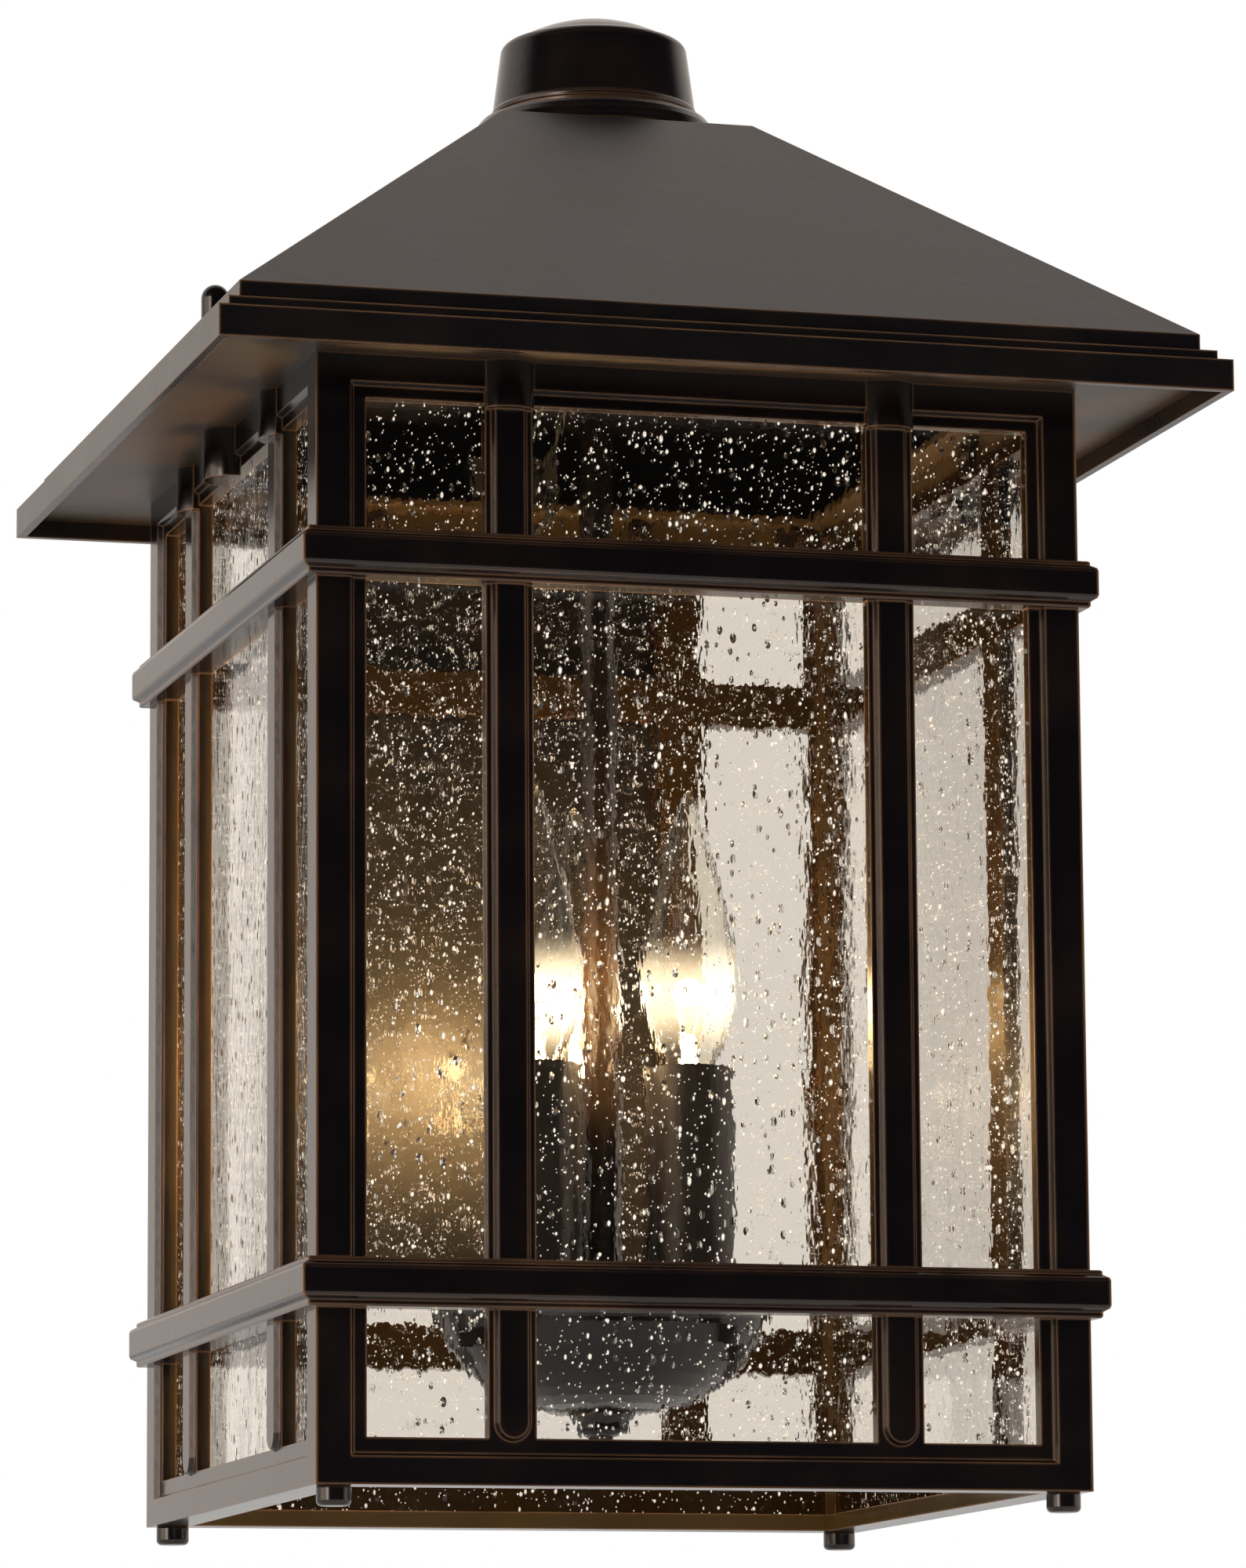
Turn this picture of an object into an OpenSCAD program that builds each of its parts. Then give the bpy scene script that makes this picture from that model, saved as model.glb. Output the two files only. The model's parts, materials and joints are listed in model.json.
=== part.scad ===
// Outdoor wall lantern: four-sided glazed cage, hip roof with a stepped rim, hanging three-candle cluster.
// Millimetres, +Z up. The origin is the centre of the wall plate, on the wall plane y = 0.
// The lantern stands off the wall towards -Y. Cage parts are drawn about the cage's own axis and foot.

/* [Cage] */
// Width and depth of the square cage over its flat faces
cage_w = 212; // [200:1:224]
// Height of the cage from its foot to the eave
cage_h = 298.5; // [292:0.5:305]
// Thickness of the cast frames
frame_t = 7.5; // [6.8:0.1:8.4]
// Depth of the sunk field around the windows
field_sink = 1.6; // [1:0.1:2.2]
// Width of a corner post, on one face
post_w = 14; // [13:0.5:16]
// Width of the raised flat on a corner post
post_flat_w = 9.6; // [8:0.1:10.5]
// Distance of a mullion from the middle of a face
mullion_x = 53; // [48:0.5:56]
// Width of a mullion
mullion_w = 13; // [11:0.5:14]
// Width of the raised bar on a mullion
mullion_flat_w = 8; // [6:0.5:9]
// Slope width at the edge of a raised flat
flat_slope = 0.9; // [0.4:0.1:1.2]
// Height of the foot rail
foot_rail_h = 12.4; // [11:0.1:14]
// Height of the raised flat on the foot rail
foot_flat_h = 7.4; // [6:0.1:9]
// Height of the head rail
head_rail_h = 11.7; // [10.5:0.1:13]
// Height of the raised flat on the head rail
head_flat_h = 7.6; // [6:0.1:8.5]

/* [Belts] */
// Height of the lower belt's foot above the cage's foot
lower_belt_z = 45.9; // [40:0.1:56]
// Height of the upper belt's foot above the cage's foot
upper_belt_z = 238.3; // [228:0.1:243]
// Height of a belt
belt_h = 12.8; // [11:0.1:14]
// How far a belt's main band stands proud
belt_out = 4.4; // [3.4:0.1:5.4]
// How far a belt's two steps stand proud
belt_step_out = 2.6; // [1.6:0.1:3.2]
// Height of the lower step of a belt
belt_low_step_h = 2.5; // [1.8:0.1:3]
// Height of the upper step of a belt
belt_top_step_h = 2.1; // [1.5:0.1:3]

/* [Corbels and bosses] */
// Width of a corbel under the eave
corbel_w = 13; // [10:0.5:15]
// Height of a corbel
corbel_h = 13; // [11:0.5:16]
// How far a corbel stands proud
corbel_out = 3.4; // [2.4:0.1:5]
// Radius of a corbel's round front
corbel_r = 8.2; // [7.5:0.1:9]
// Width of the middle boss on each side face
boss_w = 16; // [14:0.5:20]
// Height of the middle boss
boss_h = 14; // [12:0.5:17]
// How far the middle boss stands proud
boss_out = 7.3; // [7:0.1:9]
// Radius of the middle boss's round front
boss_r = 8; // [7.6:0.1:9.4]

/* [Glazing] */
// Thickness of the seeded glass
glass_t = 3; // [2:0.1:3.4]
// Play of the glass at its foot and its sides
glass_play = 0.3; // [0.1:0.05:0.6]
// Height of the glass's upper edge above the window heads
glass_lap = 4.2; // [2.5:0.1:5]
// Floor thickness of the channel that holds the glass's foot
channel_floor = 1.6; // [1.2:0.1:3]
// Height of the channel's inner lip
channel_h = 4.8; // [4:0.1:8]
// Thickness of the channel's inner lip
channel_lip = 1.8; // [1.2:0.1:2.6]
// Width of a glass clip
clip_w = 8; // [6:0.5:12]
// Thickness of a glass clip's tab
clip_t = 1.2; // [0.8:0.1:1.6]
// Distance of a clip from the middle of a face
clip_x = 40; // [25:1:45]
// Drop of a clip's tab over the glass
clip_lap = 3.6; // [2.5:0.1:5]
// Depth of the rebate in the frames' inner faces that takes the glass
rebate_t = 1.9; // [1:0.1:2]

/* [Cage fasteners and feet] */
// Length of a corner cleat's legs
cleat_leg = 15; // [12:0.5:20]
// Thickness of a corner cleat
cleat_t = 1.5; // [1:0.1:2]
// Height of a corner cleat
cleat_h = 6.2; // [5.6:0.1:6.8]
// Radius of the small screws in the cage
small_screw_r = 1.25; // [1:0.05:1.4]
// Radius of a small screw's head
small_head_r = 2.4; // [2:0.1:2.7]
// Height of a small screw's head
small_head_h = 1.5; // [1:0.1:2]
// Radius of a foot pin
foot_r = 4.6; // [3.6:0.1:5.2]
// Height of a foot pin below the cage
foot_h = 5.3; // [4:0.1:10]
// Distance of a foot's axis from the cage's faces
foot_inset = 6.3; // [6:0.1:7]
// Radius of a foot pin's shank
foot_shank_r = 1.6; // [1.2:0.1:2.2]
// Length of a foot pin's shank
foot_shank_h = 7; // [5:0.5:10]

/* [Roof] */
// Overhang of the eave beyond the cage
eave_out = 33.5; // [28:0.5:37]
// Height of the eave's face
fascia_h = 8.6; // [7:0.1:11]
// How far the eave's lower edge hangs below the soffit
fascia_drop = 5.1; // [3:0.1:5.6]
// Wall thickness of the eave's face
fascia_t = 2.5; // [1.8:0.1:3.2]
// Inset of the second step
step2_in = 3.3; // [2:0.1:4.5]
// Height of the second step
step2_h = 3; // [2:0.1:4.5]
// Inset of the third step from the second
step3_in = 3.6; // [2.5:0.1:5]
// Height of the third step
step3_h = 5; // [3:0.1:7]
// Height of the slope from the third step to the roof's flat top
slope_h = 76; // [64:1:88]
// Half width of the roof's flat top
top_half = 36.2; // [35:0.1:44]
// Wall thickness of the slopes, measured square to them
slope_t = 2.5; // [2:0.1:3.5]
// Thickness of the roof's flat top
top_t = 3; // [2:0.1:4]
// Thickness of the soffit plate
soffit_t = 2; // [1.5:0.1:2.4]
// Half width of the soffit's opening
soffit_open = 90; // [84:1:91]

/* [Roof cap] */
// Radius of the cap's flange
flange_r = 35; // [32.8:0.1:36.4]
// Height of the flange
flange_h = 8.6; // [6:0.1:10]
// Radius of the cap at its foot
cap_foot_r = 29.2; // [27:0.1:30]
// Radius of the cap under its rounded edge
cap_top_r = 26.6; // [24:0.1:27.5]
// Height of the cap's side
cap_side_h = 21.4; // [17:0.1:25]
// Radius of the cap's rounded upper edge
cap_edge_r = 3; // [2:0.1:4]
// Rise of the cap's domed top
cap_dome_h = 6.8; // [3:0.1:9]
// Wall thickness of the cap
cap_t = 2.4; // [1.8:0.1:3.2]

/* [Roof knobs] */
// Distance of a roof stud from the side face of the cage
stud_out = 4; // [3.6:0.1:5]
// Radius of a roof stud
stud_r = 2; // [1.6:0.1:2.4]
// Depth of a roof stud in its boss
stud_root = 10; // [6:0.5:12]
// Radius of a domed knob
knob_r = 3.95; // [3.4:0.05:4.8]
// Height of a domed knob
knob_h = 15.6; // [13:0.1:18]
// Engaged length of a stud in its knob
knob_grip = 8; // [5:0.5:10]
// Radius of a knob's washer
washer_r = 5.8; // [5:0.1:6.4]
// Thickness of a washer
washer_t = 0.9; // [0.6:0.1:1.5]
// Radius of the roof's inner pillar round a stud
pillar_r = 8.6; // [7.5:0.1:10]

/* [Cluster] */
// Radius of the threaded tubes
tube_r = 4.75; // [4.5:0.05:5.2]
// Bore radius of the threaded tubes
tube_bore_r = 3.4; // [2.8:0.1:3.7]
// Height of the bowl's rim above the cage's foot
bowl_rim_z = 59.5; // [52:0.5:68]
// Radius of the bowl's rim
bowl_r = 48; // [42:0.5:52]
// Depth of the bowl
bowl_depth = 33; // [28:0.5:36]
// How far the bowl's side leans out towards its rim
bowl_flare = 4; // [0:0.5:6]
// Wall thickness of the bowl and its cover
bowl_t = 1.2; // [0.8:0.1:1.6]
// Radius of the lower stem
stem_r = 7; // [6.4:0.1:8]
// Length of the lower stem with its rounded end
stem_h = 9; // [8.5:0.5:12]
// Distance of a candle from the cluster's axis
candle_ring_r = 25.4; // [24:0.1:27]
// Radius of a candle sleeve
sleeve_r = 12.5; // [11.2:0.1:13.5]
// Wall thickness of a candle sleeve
sleeve_t = 1; // [0.6:0.1:1.4]
// Height of a candle sleeve
sleeve_h = 60.8; // [52:0.1:72]
// Radius of a lamp holder
socket_r = 8.6; // [8:0.1:9.6]
// Distance of a lamp holder's mouth below the sleeve's upper edge
socket_drop = 2; // [1:0.5:4]

/* [Bulb] */
// Radius of the bulb's screw base
base_r = 5.9; // [5.7:0.05:6]
// Length of the bulb's screw base
base_h = 17; // [15:0.5:19]
// Largest radius of the bulb's glass
bulb_r = 13.3; // [12.5:0.1:14.5]
// Height of the bulb's glass from its neck to its tip
bulb_h = 80; // [72:0.5:92]
// Wall thickness of the bulb's glass
bulb_t = 0.8; // [0.5:0.1:1]

/* [Wall side] */
// Distance of the cage's back from the wall
wall_gap = 44; // [41:0.5:52]
// Width of the wall plate
plate_w = 120; // [118:1:124]
// Height of the wall plate's foot above the cage's foot
plate_foot_z = 69.2; // [62:0.2:90]
// Gap between the wall plate and the eave above it
plate_top_gap = 1.2; // [0.8:0.1:3]
// Wall thickness of the wall plate
plate_t = 1.5; // [1.2:0.1:2]
// Radius of the wall plate's corners
plate_r = 3; // [2:0.1:3]
// Thickness of the foam gasket
gasket_t = 2; // [1:0.1:3]
// Width of the foam gasket
gasket_w = 5; // [3:0.5:7]
// Height of the mounting strap
strap_h = 20; // [16:1:26]
// Thickness of the mounting strap
strap_t = 2; // [1.5:0.1:2.5]
// Length of the strap's bent ears
strap_ear = 16; // [14:1:22]
// Spacing of the box screws
box_spacing = 88.9; // [86:0.1:92]
// Radius of a box screw's slot
box_slot_r = 2.4; // [2.2:0.1:2.6]
// Length of a box screw's slot
box_slot_l = 12; // [8:0.5:14]
// Radius of the screws of the wall side
screw_r = 2; // [1.7:0.05:2.2]
// Radius of their heads
head_r = 3.7; // [3.2:0.1:4]
// Height of their heads
head_h = 2.4; // [1.8:0.1:3]
// Radius of the spacers between the plate and the cage
spacer_r = 3.9; // [3.6:0.1:4]
// Distance of the spacers from the plate's sides
spacer_side_in = 7; // [6:0.1:10]
// Distance of the lower spacers from the plate's foot
spacer_foot_in = 16.8; // [12:0.2:40]
// Distance of the upper spacers below the upper belt
spacer_belt_gap = 12.3; // [8:0.1:40]
// Width of the wire bush
bush_w = 9.6; // [8.6:0.1:11]
// Height of the wire bush
bush_h = 3.4; // [3.2:0.1:3.6]
// Wall thickness of the wire bush
bush_t = 0.7; // [0.5:0.05:0.75]
// Radius of a lead
lead_r = 0.85; // [0.6:0.05:0.95]

/* [Hidden] */

$fn = 48;
// A cut runs this far past the face that it starts from
past = 1;
// Fit of a thread or a pressed pin, on the radius
thread_gap = 0.05;
// Clearance of a screw or rod that passes through a plate, on the radius
pass_gap = 0.3;
// Seat gap of a piece that turns
turn_gap = 0.3;

bronze = "#2b1d16";
steel = "#9a9a98";
brass = "#b8923e";
clear = [0.93, 0.9, 0.82, 0.35];

// Cage
half = cage_w / 2;
inner_half = half - frame_t;
seat_y = frame_t - rebate_t;
window_x = half - post_w;
head_z = cage_h - head_rail_h;
mullion_in = mullion_x - mullion_w / 2;
mullion_out = mullion_x + mullion_w / 2;
groove_w = glass_t + 2 * glass_play;
pane_half = inner_half - glass_t - 2 * glass_play;
glass_top_z = head_z + glass_lap;
clip_foot_z = glass_top_z + glass_play;
clip_top_z = cage_h - 1;
clip_foot_t = glass_t + glass_play - rebate_t;
clip_screw_z = (clip_foot_z + clip_top_z) / 2;
cleat_z = cage_h - cleat_h - 0.5;
cleat_screw_x = inner_half - cleat_t - small_head_r - (cleat_leg - cleat_t) / 3;
screw_bite = frame_t - field_sink - 1.5;

// Where the cage stands in the model's own frame: its middle's depth, and the wall plate's middle height
cage_y = wall_gap + half;
plate_top_z = cage_h - fascia_drop - plate_top_gap;
plate_h = plate_top_z - plate_foot_z;
mount_z = plate_top_z - plate_h / 2;

// Roof
eave_half = half + eave_out;
eave_z = cage_h - fascia_drop;
step2_z = eave_z + fascia_h;
step3_z = step2_z + step2_h;
slope_z = step3_z + step3_h;
slope_half = eave_half - step2_in - step3_in;
roof_top_z = slope_z + slope_h;
rise = slope_h / (slope_half - top_half);
slope_drop = slope_t * sqrt(1 + rise * rise);
land_z = cage_h + soffit_t;
cavity_half = slope_half - 3.6;
cavity_z = slope_z + rise * (slope_half - cavity_half) - slope_drop;
ceiling_z = roof_top_z - top_t;
ceiling_half = cavity_half - (ceiling_z - cavity_z) / rise;

// Knobs: the washer lies in a pocket whose floor meets the slope at the washer's lower side
stud_x = half + stud_out;
pocket_r = washer_r + 0.4;
pocket_z = slope_z + rise * (slope_half - stud_x - washer_r);
knob_z = pocket_z + washer_t + turn_gap;
stud_top_z = knob_z + knob_grip;

// Cap and rod
flange_z = roof_top_z;
cap_z = flange_z + flange_h;
nut_h = 5;
nut_r = 8;
nut_washer_r = 10;
nut_washer_t = 1.2;
boss_gap = 1;
cap_boss_z = cap_z + nut_h + nut_washer_t + boss_gap;
rod_top_z = cap_z + cap_side_h - cap_t - 4;
lead_hole_r = 1.8;
lead_slot_h = 9;
lead_slot_z = ceiling_z - nut_washer_t - nut_h - 14;

// Cluster
cover_z = bowl_rim_z;
cover_top_z = cover_z + bowl_t;
bowl_foot_z = bowl_rim_z - bowl_depth;
bowl_flat_r = 11;
rod_foot_z = bowl_foot_z - stem_h / 2;
sleeve_top_z = cover_top_z + sleeve_h;
socket_top_z = sleeve_top_z - socket_drop;
neck_z = socket_top_z + turn_gap;
neck_r = base_r + 0.5;
base_z = neck_z - base_h;
tab_h = 1.2;
socket_floor = 5;
socket_z = base_z - turn_gap - tab_h - socket_floor;
socket_h = socket_top_z - socket_z;
socket_bore_r = base_r + turn_gap;
socket_tube_z = cover_z - nut_h - 2;
ring_lead_z = socket_tube_z - 4;
filament_z = neck_z + bulb_h * 0.29;

// Wall plate
plate_half = plate_w / 2;
plate_back_y = half + wall_gap - gasket_t;
spacer_h = max(belt_out, corbel_out) + pass_gap;
plate_front_y = half + spacer_h;
plate_d = plate_back_y - plate_front_y;
spacer_x = plate_half - spacer_side_in;
spacer_z = [plate_foot_z + spacer_foot_in, upper_belt_z - spacer_belt_gap];
strap_half = plate_half - plate_t - pass_gap;
wall_y = half + wall_gap;
ear_hole_y = wall_y - strap_t - strap_ear / 2;
bush_z = head_z + bush_h / 2 + 0.4;
bush_gap = 0.1;

// Leads and the terminal block that joins them, on the soffit plate behind its opening
lead_spread = 2.2;
ring_lead_r = 0.9;
ring_lead_in = 1.7;
block_w = 26;
block_d = 13;
block_h = 14;
block_y = soffit_open + 1;
block_pitch = 8;
block_hole = 5;
supply_row_z = land_z + 4;
ring_row_z = land_z + 10;

// Candles stand at three equal turns round the rod: right, back and left
right_turn = -30;
back_turn = 90;
left_turn = 210;
candle_turns = [right_turn, back_turn, left_turn];

module at_cage() translate([0, -cage_y, -mount_z]) children();

module on_candle(turn) rotate([0, 0, turn]) translate([candle_ring_r, 0, 0]) children();

module each_candle() for (turn = candle_turns) on_candle(turn) children();

// A plain screw: head from z = 0 upwards, shank downwards
module screw(r, length, top_r, top_h) {
  translate([0, 0, -length]) cylinder(h = length + 0.01, r = r);
  difference() {
    cylinder(h = top_h, r1 = top_r, r2 = top_r * 0.8);
    translate([-top_r, -0.4, top_h * 0.55]) cube([2 * top_r, 0.8, top_h]);
  }
}

// A hexagon nut with a round bore
module hex_nut(r, h, bore_r) difference() {
  cylinder(h = h, r = r, $fn = 6);
  translate([0, 0, -past]) cylinder(h = h + 2 * past, r = bore_r);
}

function bezier(p, t) = pow(1 - t, 3) * p[0] + 3 * t * pow(1 - t, 2) * p[1]
  + 3 * t * t * (1 - t) * p[2] + pow(t, 3) * p[3];
function curve(p, n) = [for (i = [0:n]) bezier(p, i / n)];
function reversed(list) = [for (i = [len(list) - 1:-1:0]) list[i]];

// Frames. Each is drawn with its outer face on y = 0, its depth towards +y and its foot on z = 0

module belt(z) {
  slope = (belt_out - belt_step_out) / 2;
  translate([-half - belt_out, 0, z]) rotate([90, 0, 90]) linear_extrude(2 * (half + belt_out))
    polygon([
      [field_sink, 0],
      [0.4 - belt_step_out, 0],
      [-belt_step_out, 0.4],
      [-belt_step_out, belt_low_step_h - slope],
      [0.3 - belt_out, belt_low_step_h],
      [-belt_out, belt_low_step_h + 0.8],
      [-belt_out, belt_h - belt_top_step_h - 0.8],
      [0.3 - belt_out, belt_h - belt_top_step_h],
      [-belt_step_out, belt_h - belt_top_step_h + slope],
      [-belt_step_out, belt_h - 0.4],
      [0.4 - belt_step_out, belt_h],
      [field_sink, belt_h]
    ]);
}

// The raised bar on a mullion, round at its foot
module mullion_bar() {
  w = mullion_flat_w / 2;
  z = foot_rail_h + w;
  translate([0, 0, z]) linear_extrude(cage_h - z)
    polygon([[-w - flat_slope, field_sink], [-w, 0], [w, 0], [w + flat_slope, field_sink]]);
  translate([0, 0, z]) rotate([90, 0, 0]) translate([0, 0, -field_sink])
    cylinder(h = field_sink, r1 = w + flat_slope, r2 = w);
}

// The raised flats along the posts and the two rails
module raised_border() {
  for (s = [-1, 1]) mirror([s < 0 ? 1 : 0, 0, 0])
    linear_extrude(cage_h) polygon([
      [half, 0],
      [half, field_sink],
      [half - post_flat_w - flat_slope, field_sink],
      [half - post_flat_w, 0]
    ]);
  translate([-half, 0, 0]) rotate([90, 0, 90]) linear_extrude(cage_w) polygon([
    [0, 0],
    [0, foot_flat_h],
    [field_sink, foot_flat_h + flat_slope],
    [field_sink, 0]
  ]);
  translate([-half, 0, cage_h]) rotate([90, 0, 90]) linear_extrude(cage_w) polygon([
    [0, 0],
    [0, -head_flat_h],
    [field_sink, -head_flat_h - flat_slope],
    [field_sink, 0]
  ]);
}

module window(x0, x1, z0, z1) translate([x0, -past, z0]) cube([x1 - x0, frame_t + 2 * past, z1 - z0]);

module windows() for (row = [
  [foot_rail_h, lower_belt_z],
  [lower_belt_z + belt_h, upper_belt_z],
  [upper_belt_z + belt_h, head_z]
]) {
  window(-window_x, -mullion_out, row[0], row[1]);
  window(-mullion_in, mullion_in, row[0], row[1]);
  window(mullion_out, window_x, row[0], row[1]);
}

// A block under the eave with a round front
module corbel(w, out, h, r) translate([0, 0, cage_h - h]) linear_extrude(h) intersection() {
  translate([0, r - out]) circle(r, $fn = 72);
  translate([-w / 2, -out - 1]) square([w, out + 1 + field_sink]);
}

// The ledge at the foot that holds the glass's lower edge
module ledge() translate([-half, frame_t - 0.01, 0])
  cube([cage_w, groove_w - rebate_t + channel_lip + 0.01, channel_h]);

// The rebate that takes the pane. It cuts the ledge's channel too
module rebate() translate([-pane_half - glass_play, seat_y, channel_floor])
  cube([2 * (pane_half + glass_play), groove_w, clip_foot_z - channel_floor]);

// Everything outside the two 45 degree mitres is cut away
module mitred() intersection() {
  children();
  translate([0, 0, -past]) linear_extrude(cage_h + 2 * past)
    polygon([[-half - 2 * boss_out, -2 * boss_out], [half + 2 * boss_out, -2 * boss_out], [0, half]]);
}

module frame_blank() difference() {
  mitred() union() {
    difference() {
      translate([-half, field_sink, 0]) cube([cage_w, frame_t - field_sink, cage_h]);
      windows();
    }
    raised_border();
    for (s = [-1, 1]) translate([s * mullion_x, 0, 0]) mullion_bar();
    belt(lower_belt_z);
    belt(upper_belt_z);
    ledge();
    for (s = [-1, 1]) translate([s * mullion_x, 0, 0]) corbel(corbel_w, corbel_out, corbel_h, corbel_r);
  }
  rebate();
  for (s = [-1, 1]) {
    translate([s * (half - foot_inset), foot_inset, -past])
      cylinder(h = foot_shank_h + past + 0.5, r = foot_shank_r + thread_gap);
    translate([s * cleat_screw_x, frame_t - screw_bite, cleat_z + cleat_h / 2]) rotate([-90, 0, 0])
      cylinder(h = screw_bite + past, r = small_screw_r + thread_gap);
    translate([s * clip_x, frame_t - screw_bite, clip_screw_z]) rotate([-90, 0, 0])
      cylinder(h = screw_bite + past, r = small_screw_r + thread_gap);
  }
}

module side_frame() difference() {
  union() {
    frame_blank();
    corbel(boss_w, boss_out, boss_h, boss_r);
  }
  translate([0, -stud_out, cage_h - stud_root]) cylinder(h = stud_root + past, r = stud_r + thread_gap);
}

// An oblong of a width and a height, round at its two ends
module oblong(w, h) {
  square([w - h, h], center = true);
  for (s = [-1, 1]) translate([s * (w - h) / 2, 0]) circle(h / 2);
}

module turned(quarter) at_cage() rotate([0, 0, 90 * quarter]) translate([0, -half, 0]) children();

module front_frame() color(bronze) turned(0) frame_blank();

module right_frame() color(bronze) turned(1) side_frame();

module left_frame() color(bronze) turned(3) side_frame();

module back_frame() color(bronze) turned(2) difference() {
  frame_blank();
  for (s = [-1, 1], z = spacer_z)
    translate([s * spacer_x, -past, z]) rotate([-90, 0, 0])
      cylinder(h = seat_y, r = screw_r + thread_gap);
  translate([0, frame_t + past, bush_z]) rotate([90, 0, 0]) linear_extrude(frame_t + 2 * past)
    oblong(bush_w + 2 * bush_gap, bush_h + 2 * bush_gap);
}

// A pane stands in the channel and leans on the rebate's face
module pane() translate([-pane_half, seat_y, channel_floor + glass_play])
  cube([2 * pane_half, glass_t, glass_top_z - channel_floor - glass_play]);

module glass_front() color(clear) turned(0) pane();

module glass_right() color(clear) turned(1) pane();

module glass_left() color(clear) turned(3) pane();

module glass_back() color(clear) turned(2) difference() {
  pane();
  translate([-bush_w / 2 - 1.5, seat_y - past, head_z + 0.1])
    cube([bush_w + 3, glass_t + 2 * past, glass_lap + past]);
}

module clip() translate([-clip_w / 2, frame_t, 0]) difference() {
  union() {
    translate([0, 0, clip_foot_z]) cube([clip_w, clip_foot_t, clip_top_z - clip_foot_z]);
    translate([0, clip_foot_t, glass_top_z - clip_lap])
      cube([clip_w, clip_t, clip_top_z - glass_top_z + clip_lap]);
  }
  translate([clip_w / 2, -past, clip_screw_z]) rotate([-90, 0, 0])
    cylinder(h = clip_foot_t + clip_t + 2 * past, r = small_screw_r + thread_gap);
}

module glass_clips() color(steel) for (q = [0:3], s = [-1, 1])
  turned(q) translate([s * clip_x, 0, 0]) clip();

module clip_screws() color(steel) for (q = [0:3], s = [-1, 1])
  turned(q) translate([s * clip_x, frame_t + clip_foot_t + clip_t, clip_screw_z]) rotate([-90, 0, 0])
    screw(small_screw_r, clip_foot_t + clip_t + screw_bite - 0.3, small_head_r, small_head_h);

module corner_cleats() color(steel) for (q = [0:3]) at_cage() rotate([0, 0, 90 * q])
  translate([inner_half, -inner_half, cleat_z]) difference() {
    union() {
      translate([-cleat_leg, 0, 0]) cube([cleat_leg, cleat_t, cleat_h]);
      translate([-cleat_t, 0, 0]) cube([cleat_t, cleat_leg, cleat_h]);
    }
    translate([cleat_screw_x - inner_half, -past, cleat_h / 2]) rotate([-90, 0, 0])
      cylinder(h = cleat_t + 2 * past, r = small_screw_r + thread_gap);
    translate([-cleat_t - past, inner_half - cleat_screw_x, cleat_h / 2]) rotate([0, 90, 0])
      cylinder(h = cleat_t + 2 * past, r = small_screw_r + thread_gap);
  }

module cleat_screws() color(steel) for (q = [0:3], s = [-1, 1])
  turned(q) translate([s * cleat_screw_x, frame_t + cleat_t, cleat_z + cleat_h / 2]) rotate([-90, 0, 0])
    screw(small_screw_r, cleat_t + screw_bite - 0.3, small_head_r, small_head_h);

module feet() color(bronze) at_cage() for (x = [-1, 1], y = [-1, 1])
  translate([x * (half - foot_inset), y * (half - foot_inset), 0]) {
    rotate_extrude() polygon(concat(
      [[0, 0], [foot_r * 0.96, 0], [foot_r, -0.6]],
      [for (a = [0:15:90]) [foot_r - 1.4 + 1.4 * cos(a), 1.4 - foot_h - 1.4 * sin(a)]],
      [[0, -foot_h]]
    ));
    cylinder(h = foot_shank_h, r = foot_shank_r);
  }

module roof_studs() color(brass) at_cage() for (s = [-1, 1])
  translate([s * stud_x, 0, cage_h - stud_root]) cylinder(h = stud_top_z - cage_h + stud_root, r = stud_r);

// Roof

module block(half_w, z0, z1) translate([-half_w, -half_w, z0]) cube([2 * half_w, 2 * half_w, z1 - z0]);

module hip(half_low, z_low, half_high, z_high) hull() {
  block(half_low, z_low, z_low + 0.01);
  block(half_high, z_high - 0.01, z_high);
}

module roof_outside() {
  block(eave_half, eave_z, step2_z);
  block(eave_half - step2_in, step2_z - past, step3_z);
  block(slope_half, step3_z - past, slope_z);
  hip(slope_half, slope_z - 0.01, top_half, roof_top_z);
}

module roof_cavity() {
  block(eave_half - fascia_t, eave_z - past, land_z);
  difference() {
    union() {
      block(cavity_half, land_z - past, cavity_z);
      hip(cavity_half, cavity_z - 0.01, ceiling_half, ceiling_z);
    }
    for (s = [-1, 1]) translate([s * stud_x, 0, land_z]) cylinder(h = slope_h, r = pillar_r);
  }
}

module roof_shell() color(bronze) at_cage() difference() {
  roof_outside();
  roof_cavity();
  for (s = [-1, 1]) translate([s * stud_x, 0, 0]) {
    translate([0, 0, cage_h]) cylinder(h = slope_h, r = stud_r + 2 * pass_gap);
    translate([0, 0, pocket_z]) cylinder(h = slope_h, r = pocket_r);
  }
  translate([0, 0, ceiling_z - past]) cylinder(h = top_t + 2 * past, r = tube_r + pass_gap);
}

module soffit_plate() color(bronze) at_cage() difference() {
  block(eave_half - fascia_t, cage_h, land_z);
  block(soffit_open, cage_h - past, land_z + past);
  for (s = [-1, 1]) translate([s * stud_x, 0, cage_h - past])
    cylinder(h = soffit_t + 2 * past, r = stud_r + 2 * pass_gap);
}

module knob_washers() color(bronze) at_cage() for (s = [-1, 1])
  translate([s * stud_x, 0, pocket_z]) difference() {
    cylinder(h = washer_t, r = washer_r);
    translate([0, 0, -past]) cylinder(h = washer_t + 2 * past, r = stud_r + pass_gap);
  }

module knob(s) color(bronze) at_cage() translate([s * stud_x, 0, knob_z]) difference() {
  rotate_extrude() polygon(concat(
    [[0, 0], [knob_r - 0.4, 0], [knob_r, 0.4]],
    [for (a = [0:10:90]) [knob_r * cos(a), knob_h - knob_r + knob_r * sin(a)]]
  ));
  translate([0, 0, -past]) cylinder(h = knob_grip + past + 1, r = stud_r + thread_gap);
}

module left_knob() knob(-1);

module right_knob() knob(1);

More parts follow.
